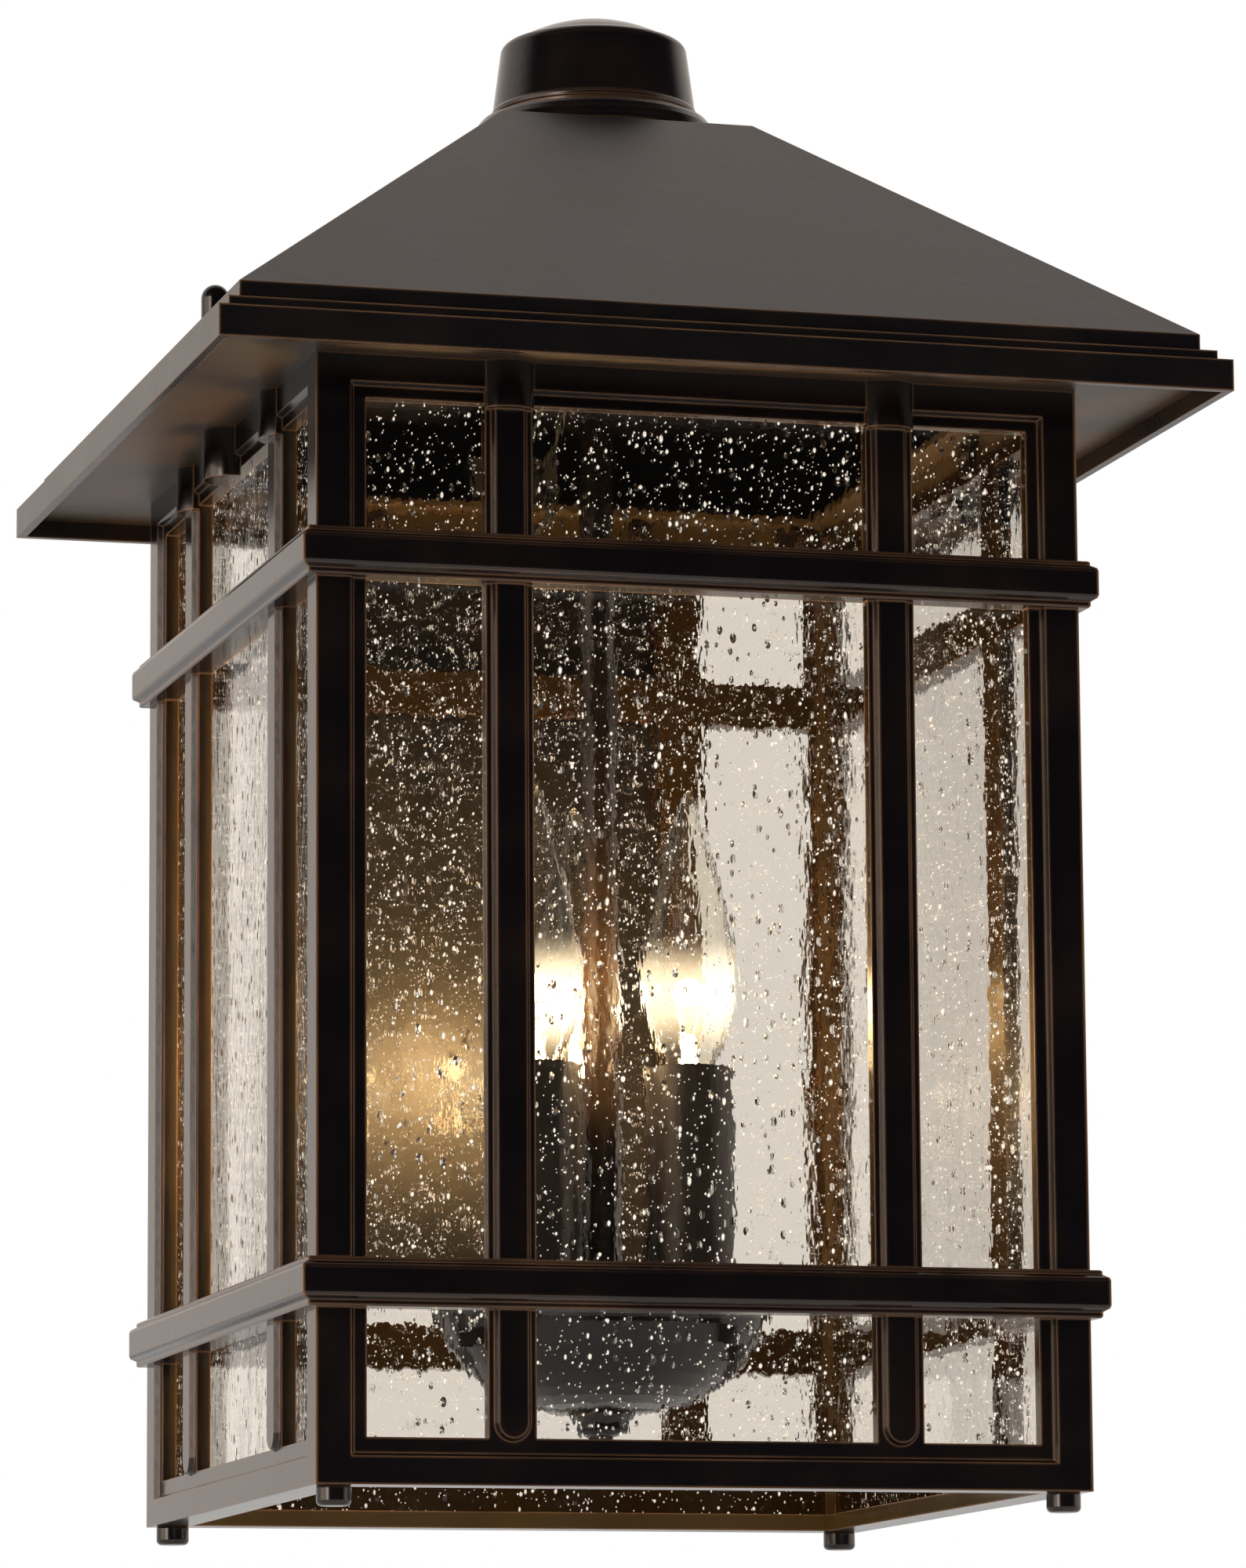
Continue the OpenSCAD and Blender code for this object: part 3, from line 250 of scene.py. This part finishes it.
def bronzeEnamel(name, gloss, worn=1.0, base=None, warm=None, paintBulbLightInside=False, shine=(1, 1, 1)):
    f = Finish(name)
    mottle = f.noise(38.0, 4.0, 0.6)
    grit = f.noise(900.0, 2.0, 0.6)
    patches = f.noise(16.0, 3.0, 0.55).ramp(0.38, 0.68)
    edge = f.wear(bronzeLook["edgeRadius"])
    rub = (edge * 5.0 * (mottle * 0.9 + 0.25) * (patches * 0.8 + 0.35) * worn).clamped()
    low, high = base or bronzeLook["enamel"], warm or bronzeLook["warmEnamel"]
    coat = f.blend(mottle.ramp(0.38, 0.78), low, high)
    # painted light: towards the cage's inside the coat turns warm brown, as if lit by the bulbs
    if paintBulbLightInside:
        across, ahead, up = f.axes()
        depth = across.math("ABSOLUTE").math("MAXIMUM", (ahead - cageMiddleY).math("ABSOLUTE"))
        bulbLightMask = 1.0 - depth.ramp(bronzeLook["paintedBulbLightFull"], bronzeLook["paintedBulbLightStart"])
        coat = f.blend(bulbLightMask * (mottle * 0.5 + 0.6), coat, bronzeLook["paintedBulbLight"])
    color = f.blend(rub, coat, bronzeLook["copper"])
    orange = f.noise(260.0, 2.0, 0.5)
    relief = f.bump(orange, 0.00010, 0.35, f.soft(bronzeLook["roundRadius"]))
    f.surface(Base_Color=color, Roughness=mottle * 0.08 + (gloss - 0.04) + rub * 0.2 + grit * 0.03,
              Normal=relief, Metallic=rub * 0.5, Specular_Tint=shine)
    return f.material


glassLook = {
    "tint": (0.89, 0.852, 0.795),
    "index": 1.5,
    "waveDepth": 0.00060,
    "rippleDepth": 0.00011,
    "streakDepth": 0.000016,
    "seedDepth": 0.0006,
    "glint": (1.0, 0.93, 0.82),
    "glintStrength": 0.35,
}


def seededGlass():
    f = Finish("seededGlass")
    wave = f.noise(26.0, 2.0, 0.5, stretch=(1, 1, 0.55))
    ripple = f.noise(150.0, 3.0, 0.6, stretch=(1, 1, 0.4))
    streak = f.noise(560.0, 2.0, 0.6, stretch=(1, 1, 0.22))
    place = (1, 1, 0.62)
    spot = f.cells(300.0, place)
    size = f.add("ShaderNodeSeparateColor", {}, {0: f.cells(300.0, place, "Color")})
    lens = 1.0 - (spot / (size * 0.24 + 0.03)).clamped()
    shape = f.bump(wave, glassLook["waveDepth"], 1.0)
    shape = f.bump(ripple, glassLook["rippleDepth"], 1.0, shape)
    shape = f.bump(streak, glassLook["streakDepth"], 1.0, shape)
    shape = f.bump(lens, glassLook["seedDepth"], 0.8, shape)
    shader = f.surface(Base_Color=glassLook["tint"], Roughness=0.0, IOR=glassLook["index"],
                       Transmission_Weight=1.0, Normal=shape)
    f.letLightThrough(shader, glassLook["tint"])
    return f.material


def seedAir():
    f = Finish("seedAir")
    # painted glint: the emission makes every seed glow faintly, though no light falls on it
    shader = f.surface(Base_Color=(1, 1, 1), Roughness=0.0, IOR=1 / glassLook["index"],
                       Transmission_Weight=0.9, Emission_Color=glassLook["glint"],
                       Emission_Strength=glassLook["glintStrength"])
    f.letLightThrough(shader, (1, 1, 1))
    return f.material


bulbLook = {
    "glow": (1.0, 0.83, 0.58),
    "light": (1.0, 0.74, 0.42),
    "core": 90.0,
    "halo": 4.0,
    "haloReach": 0.0112,
    "heartDrop": 0.0005,  # from the filament's top to the middle of its glow
}


def bulbGlass(name, heart):
    f = Finish("bulbGlass_" + name)
    spot = f.add("ShaderNodeTexCoord", output=3)
    away = f.add("ShaderNodeVectorMath", {"operation": "DISTANCE"}, {0: spot, 1: tuple(heart)}, "Value")
    # painted glow: the bulb glass itself shines by emission near the filament, fading outwards
    near = (1.0 - (away / (bulbLook["haloReach"] * 1.75)).clamped()) ** 2.0
    glow = f.blend(near, (0.0, 0.0, 0.0), bulbLook["glow"])
    wave = f.noise(60.0, 2.0, 0.5, stretch=(1, 1, 0.4))
    shader = f.surface(Base_Color=(0.97, 0.95, 0.9), Roughness=0.02, IOR=1.35, Transmission_Weight=1.0,
                       Normal=f.bump(wave, 0.0004, 1.0), Emission_Color=glow,
                       Emission_Strength=bulbLook["halo"])
    f.letLightThrough(shader, (0.97, 0.95, 0.9))
    return f.material


def glowing():
    f = Finish("filamentGlow")
    flicker = f.noise(900.0, 2.0, 0.5)
    glow = f.blend(flicker, (1.0, 0.70, 0.33), (1.0, 0.82, 0.52))
    f.surface(Base_Color=(0.2, 0.1, 0.05), Roughness=0.5, Emission_Color=glow,
              Emission_Strength=bulbLook["core"])
    return f.material


def plainMetal(name, low, high, rough, metallic=1.0, scale=90.0, scratch=(1, 1, 1)):
    f = Finish(name)
    mottle = f.noise(scale, 4.0, 0.6, scratch)
    color = f.blend(mottle.ramp(0.3, 0.7), low, high)
    fine = f.noise(scale * 9, 2.0, 0.6, scratch)
    f.surface(Base_Color=color, Roughness=mottle * 0.18 + rough, Metallic=metallic,
              Normal=f.bump(fine, 0.00006, 0.4, f.soft(0.0002)))
    return f.material


def plainPlastic(name, low, high, rough, scale=60.0):
    f = Finish(name)
    mottle = f.noise(scale, 3.0, 0.6)
    color = f.blend(mottle.ramp(0.3, 0.7), low, high)
    grain = f.noise(scale * 20, 2.0, 0.6)
    f.surface(Base_Color=color, Roughness=mottle * 0.15 + rough, Normal=f.bump(grain, 0.00005, 0.5))
    return f.material


bronze = bronzeEnamel("bronze", bronzeLook["gloss"])
frameBronze = bronzeEnamel("frameBronze", bronzeLook["gloss"], 1.3, paintBulbLightInside=True)
roofBronze = bronzeEnamel("roofBronze", 0.27, 1.3)
rodBronze = bronzeEnamel("rodBronze", 0.26, 0.8, (0.010, 0.005, 0.002), (0.018, 0.009, 0.003))
soffitBronze = bronzeEnamel("soffitBronze", 0.42, 0.5, (0.032, 0.019, 0.010), (0.044, 0.028, 0.015),
                            paintBulbLightInside=True, shine=(1, 0.85, 0.7))
clipBronze = bronzeEnamel("clipBronze", 0.3, 0.6, (0.010, 0.006, 0.004), (0.018, 0.010, 0.006))
plateBronze = bronzeEnamel("plateBronze", 0.30, 0.6, (0.006, 0.005, 0.004), (0.011, 0.008, 0.006))
paneGlass = seededGlass()
seedMaterial = seedAir()
filamentGlow = glowing()
zinc = plainMetal("zinc", (0.42, 0.41, 0.39), (0.62, 0.61, 0.58), 0.28)
brass = plainMetal("brass", (0.50, 0.34, 0.13), (0.68, 0.49, 0.21), 0.22)
greenSteel = plainMetal("greenSteel", (0.03, 0.16, 0.05), (0.06, 0.26, 0.08), 0.35, metallic=0.6)
phenolic = plainPlastic("phenolic", (0.010, 0.009, 0.009), (0.022, 0.02, 0.019), 0.35)
sleeveFinish = plainPlastic("sleeveFinish", (0.010, 0.007, 0.006), (0.018, 0.013, 0.010), 0.3)
foam = plainPlastic("foam", (0.012, 0.012, 0.012), (0.03, 0.03, 0.03), 0.75, 200.0)
leadJacket = plainPlastic("leadJacket", (0.011, 0.010, 0.009), (0.020, 0.018, 0.016), 0.4, 80.0)
nylon = plainPlastic("nylon", (0.030, 0.026, 0.022), (0.050, 0.044, 0.038), 0.35, 80.0)
print("stage: materials made")


# Helpers for mesh work


def deselect():
    if bpy.context.object and bpy.context.object.mode != "OBJECT":
        bpy.ops.object.mode_set(mode="OBJECT")
    bpy.ops.object.select_all(action="DESELECT")


def pick(piece):
    deselect()
    piece.select_set(True)
    bpy.context.view_layer.objects.active = piece


def settle(piece):  # the place, turn and size go into the mesh
    pick(piece)
    bpy.ops.object.transform_apply(location=True, rotation=True, scale=True)


def dress(piece, body, slotName, *materials):
    piece.data.materials.clear()
    for material in materials:
        piece.data.materials.append(material)
    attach(piece, body)


def bodyOf(nodeName):
    return nodes[nodeName]["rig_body"]


def bulbHeart(sideName):
    low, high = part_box("bulb_" + sideName + "_filament")
    return Vector(((low.x + high.x) / 2, (low.y + high.y) / 2, high.z - bulbLook["heartDrop"]))


slotOf = {part["node"]: part["material_slot"] for part in frame["record"]["subparts"]}


# Finishes of the CAD nodes that show as they are

finishes = {
    "bronze": bronze,
    "satin_bronze": roofBronze,
    "seeded_glass": paneGlass,
    "zinc": zinc,
    "brass": brass,
    "green_screw": greenSteel,
    "phenolic": phenolic,
    "sleeve": sleeveFinish,
    "foam": foam,
    "lead_jacket": leadJacket,
    "nylon": nylon,
    "filament": filamentGlow,
}
ownFinishes = {  # nodes that don't take their slot's finish
    "wall_plate": plateBronze,
    "centre_rod": rodBronze,
    "soffit_plate": soffitBronze,
    "glass_clips": clipBronze,
    "clip_screws": clipBronze,
    "corner_cleats": clipBronze,
    "cleat_screws": clipBronze,
}
for nodeName, node in nodes.items():
    if node.hide_render:
        continue
    slotName = slotOf[nodeName]
    if slotName == "bulb_glass":
        sideName = nodeName.split("_")[1]
        material = bulbGlass(sideName, bulbHeart(sideName))
    elif nodeName.endswith("_frame"):
        material = frameBronze
    else:
        material = ownFinishes.get(nodeName, finishes[slotName])
    node.data.materials.clear()
    node.data.materials.append(material)
print("stage: nodes dressed")


# Seeds: small bubbles inside each pane, a little taller than wide

seeds = {
    "Fine": {"count": 7600, "least": 0.00014, "most": 0.00030},
    "Large": {"count": 1700, "least": 0.00030, "most": 0.00062},
    "stretch": 2.0,
    "margin": 0.0003,
    "randomStart": 11,
}


def seedShape():
    deselect()
    bpy.ops.mesh.primitive_ico_sphere_add(subdivisions=1, radius=1.0)
    master = bpy.context.object
    bpy.ops.object.mode_set(mode="EDIT")
    bpy.ops.mesh.select_all(action="SELECT")
    bpy.ops.transform.resize(value=(1.0, 1.0, 1.15))
    bpy.ops.object.mode_set(mode="OBJECT")
    points = np.array([v.co for v in master.data.vertices])
    faces = np.array([p.vertices[:] for p in master.data.polygons])
    bpy.data.objects.remove(master)
    return points, faces


def addSeeds(nodeName, pieceName, look, chance):
    low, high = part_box(nodeName)
    shape, sides = seedShape()
    points, faces, total = [], [], 0
    for i in range(look["count"]):
        size = look["least"] + (look["most"] - look["least"]) * chance.random() ** 2
        tall = size * (1 + (seeds["stretch"] - 1) * chance.random() ** 3)
        reach = (size + seeds["margin"], size + seeds["margin"], tall + seeds["margin"])
        spot = [chance.uniform(low[k] + reach[k], high[k] - reach[k]) for k in range(3)]
        points.append(shape * (size, size, tall) + spot)
        faces.append(sides + total)
        total += len(shape)
    mesh = bpy.data.meshes.new(pieceName)
    mesh.from_pydata(np.concatenate(points).tolist(), [], np.concatenate(faces).tolist())
    piece = bpy.data.objects.new(pieceName, mesh)
    scene.collection.objects.link(piece)
    pick(piece)
    bpy.ops.object.shade_smooth()
    dress(piece, bodyOf(nodeName), "seeded_glass", seedMaterial)


chance = random.Random(seeds["randomStart"])
for side in ("front", "back", "left", "right"):
    for kind in ("Fine", "Large"):
        addSeeds("glass_" + side, side + kind + "Seeds", seeds[kind], chance)
print("stage: seeds blown")


# Leads: each follows its CAD route, with smooth bends

leads = {
    "bendRadius": 0.0034,
    "bendSteps": 7,
    "sides": 3,
    "supply": {"radius": 0.00085, "ends": (-1, 1), "path": (
        (0.0121, 0.1495, 0.2047), (0.011, 0.13605, 0.2127), (0.00594, 0.13018, 0.24983),
        (0.0022, 0.13238, 0.27887), (0.0022, 0.11864, 0.2889), (0.0022, 0.0895, 0.2889),
        (0.008, 0.081, 0.2947), (0.008, 0.081, 0.3005), (0.008, 0.08505, 0.3045),
        (0.008, 0.0957, 0.3045))},
    "candle": {"radius": 0.0009, "rodTop": 0.3628,
               "turns": ((90, 0, -0.0026), (210, -1, 0.0), (-30, 1, 0.0026))},  # degrees, side, level
    "bendStart": (0.0, 0.0895, 0.2889),  # the stretch where the supply pair rises to the roof lies between these two; they are computed and used no further
    "bendEnd": (0.0, 0.0810, 0.3005),
}


def inCage(point):
    return Vector((point[0], point[1] + cageMiddleY, point[2] + cageFoot))


def rounded(route):
    points = [inCage(point) for point in route]
    path = [points[0]]
    for before, corner, after in zip(points, points[1:], points[2:]):
        reach = min(leads["bendRadius"], (before - corner).length * 0.45, (after - corner).length * 0.45)
        start = corner + (before - corner).normalized() * reach
        stop = corner + (after - corner).normalized() * reach
        for i in range(leads["bendSteps"] + 1):
            t = i / leads["bendSteps"]
            path.append(start * (1 - t) ** 2 + corner * 2 * t * (1 - t) + stop * t ** 2)
    return path + [points[-1]]


def addLeads(pieceName, routes, radius):
    curve = bpy.data.curves.new(pieceName, "CURVE")
    curve.dimensions = "3D"
    curve.bevel_depth = radius
    curve.bevel_resolution = leads["sides"]
    curve.use_fill_caps = True
    for route in routes:
        path = rounded(route)
        spline = curve.splines.new("POLY")
        spline.points.add(len(path) - 1)
        for point, spot in zip(spline.points, path):
            point.co = (*spot, 1.0)
    piece = bpy.data.objects.new(pieceName, curve)
    scene.collection.objects.link(piece)
    pick(piece)
    bpy.ops.object.convert(target="MESH")
    piece = bpy.context.object
    bpy.ops.object.mode_set(mode="EDIT")
    bpy.ops.mesh.select_all(action="SELECT")
    bpy.ops.mesh.remove_doubles(threshold=0.00001)
    bpy.ops.mesh.normals_make_consistent(inside=False)
    bpy.ops.object.mode_set(mode="OBJECT")
    bpy.ops.object.shade_smooth_by_angle(angle=math.radians(50))
    piece.data.materials.clear()
    piece.data.materials.append(leadJacket)
    return piece


supplyRoutes = [[(x * side, y, z) for x, y, z in leads["supply"]["path"]] for side in leads["supply"]["ends"]]


def candleRoute(turn, side, level):  # down the candle, through the bowl, up the rod and out to the block
    c, s = math.cos(math.radians(turn)), math.sin(math.radians(turn))
    rodTop = leads["candle"]["rodTop"] + level
    up = ((0.0254, 0.1008), (0.0254, 0.0525), (0.0214, 0.0485), (0.00675, 0.0485), (0.0017, 0.0485),
          (0.0017, rodTop))
    out = [(0, 0.00675, rodTop), (0.008 * side, 0.06705, 0.31848), (0.008 * side, 0.0832, 0.3105),
           (0.008 * side, 0.0957, 0.3105)]
    return [(r * c, r * s, z) for r, z in up] + out


supplyLeads = addLeads("supplyLeads", supplyRoutes, leads["supply"]["radius"])
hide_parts("supply_wires")
inCage(leads["bendStart"])
inCage(leads["bendEnd"])
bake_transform(supplyLeads)
candleLeads = addLeads("candleLeads", [candleRoute(*turn) for turn in leads["candle"]["turns"]],
                       leads["candle"]["radius"])
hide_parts("cluster_wires")
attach(candleLeads, bodyOf("cluster_wires"))
print("stage: leads laid")


# Light and stage

studio = {
    "floorDrop": 0.14,
    "floorSize": 8.0,
    "floorColor": (0.86, 0.86, 0.86),
    "ambient": 0.62,  # for matt surfaces
    "behind": 0.88,  # what polished surfaces show behind, beside and before the lantern
    "leftSide": 3.2,
    "rightSide": 1.3,
    "front": 0.025,
    "strip": 6.0,  # narrow lamp at the front left, which draws the fine lines on the edges
    "sheen": (1.0, 0.90, 0.82),
    "leftSheen": (1.0, 0.80, 0.66),
    "keyPower": 14.0,
    "fillPower": 7.0,
    "topPower": 8.0,
    "bulbPower": 0.5,
    "bulbRadius": 0.004,
}


def addWorld():
    f = Finish("studio", world=True)
    scene.world = f.material
    ways = f.add("ShaderNodeSeparateXYZ", {}, {0: f.add("ShaderNodeTexCoord", output=0)}).socket.node
    across, ahead, up = [Wire(f, ways.outputs[axis]) for axis in "XYZ"]
    behind = ahead.ramp(0.02, 0.5)
    low = 1.0 - up.math("ABSOLUTE").ramp(0.2, 0.36)
    left = across * -1.0
    leftBox = left.ramp(0.72, 0.9) * low
    rightBox = across.ramp(0.78, 0.93) * low
    strip = left.ramp(0.68, 0.76) * (1.0 - left.ramp(0.84, 0.92)) * low
    sides = leftBox * studio["leftSide"] + rightBox * studio["rightSide"]
    sides = sides + strip * studio["strip"] + studio["front"]
    level = behind * studio["behind"] + (1.0 - behind) * sides
    seen = f.add("ShaderNodeLightPath", output="Is Camera Ray")
    through = f.add("ShaderNodeLightPath", output="Is Transmission Ray")
    plain = (seen + through * ahead.ramp(-0.05, 0.12)).clamped()
    glossy = f.add("ShaderNodeLightPath", output="Is Glossy Ray")
    polished = (glossy + through).clamped()
    surround = level * polished + (1.0 - polished) * studio["ambient"]
    strength = plain + (1.0 - plain) * surround
    sheen = f.blend(leftBox, studio["sheen"], studio["leftSheen"])
    color = f.blend(polished * (1.0 - plain), (1.0, 1.0, 1.0), sheen)
    f.show(f.add("ShaderNodeBackground", {}, {"Color": color, "Strength": strength}))


def addLamp(name, place, target, size, power, tall=None):
    data = bpy.data.lights.new(name, "AREA")
    data.energy = power
    data.shape = "RECTANGLE"
    data.size = size
    data.size_y = tall or size
    lamp = bpy.data.objects.new(name, data)
    lamp.location = place
    lamp.rotation_euler = (Vector(target) - Vector(place)).to_track_quat("-Z", "Y").to_euler()
    lamp.visible_glossy = False
    scene.collection.objects.link(lamp)


def addFloor():
    deselect()
    height = cadBox[0].z - studio["floorDrop"]
    bpy.ops.mesh.primitive_plane_add(size=studio["floorSize"], location=(0, 0, height))
    floor = bpy.context.object
    floor.name = "paleFloor"
    settle(floor)
    f = Finish("paleFloor")
    mottle = f.noise(3.0, 2.0, 0.5)
    color = f.blend(mottle, tuple(0.985 * c for c in studio["floorColor"]), studio["floorColor"])
    f.surface(Base_Color=color, Roughness=0.7)
    floor.data.materials.append(f.material)


addWorld()
addFloor()
middle = (0, cageMiddleY, 0.02)
addLamp("keySoftbox", (-1.5, -1.6, 1.5), middle, 1.2, studio["keyPower"])
addLamp("fillSoftbox", (1.7, -0.9, 0.5), middle, 1.0, studio["fillPower"], 1.6)
addLamp("topSoftbox", (0.1, -0.3, 2.0), middle, 1.4, studio["topPower"])
for sideName in ("right", "back", "left"):
    data = bpy.data.lights.new(sideName + "BulbLight", "POINT")
    data.energy = studio["bulbPower"]
    data.color = bulbLook["light"]
    data.shadow_soft_size = studio["bulbRadius"]
    lamp = bpy.data.objects.new(sideName + "BulbLight", data)
    lamp.location = bulbHeart(sideName)
    scene.collection.objects.link(lamp)
    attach(lamp, "roof")
print("stage: lit")
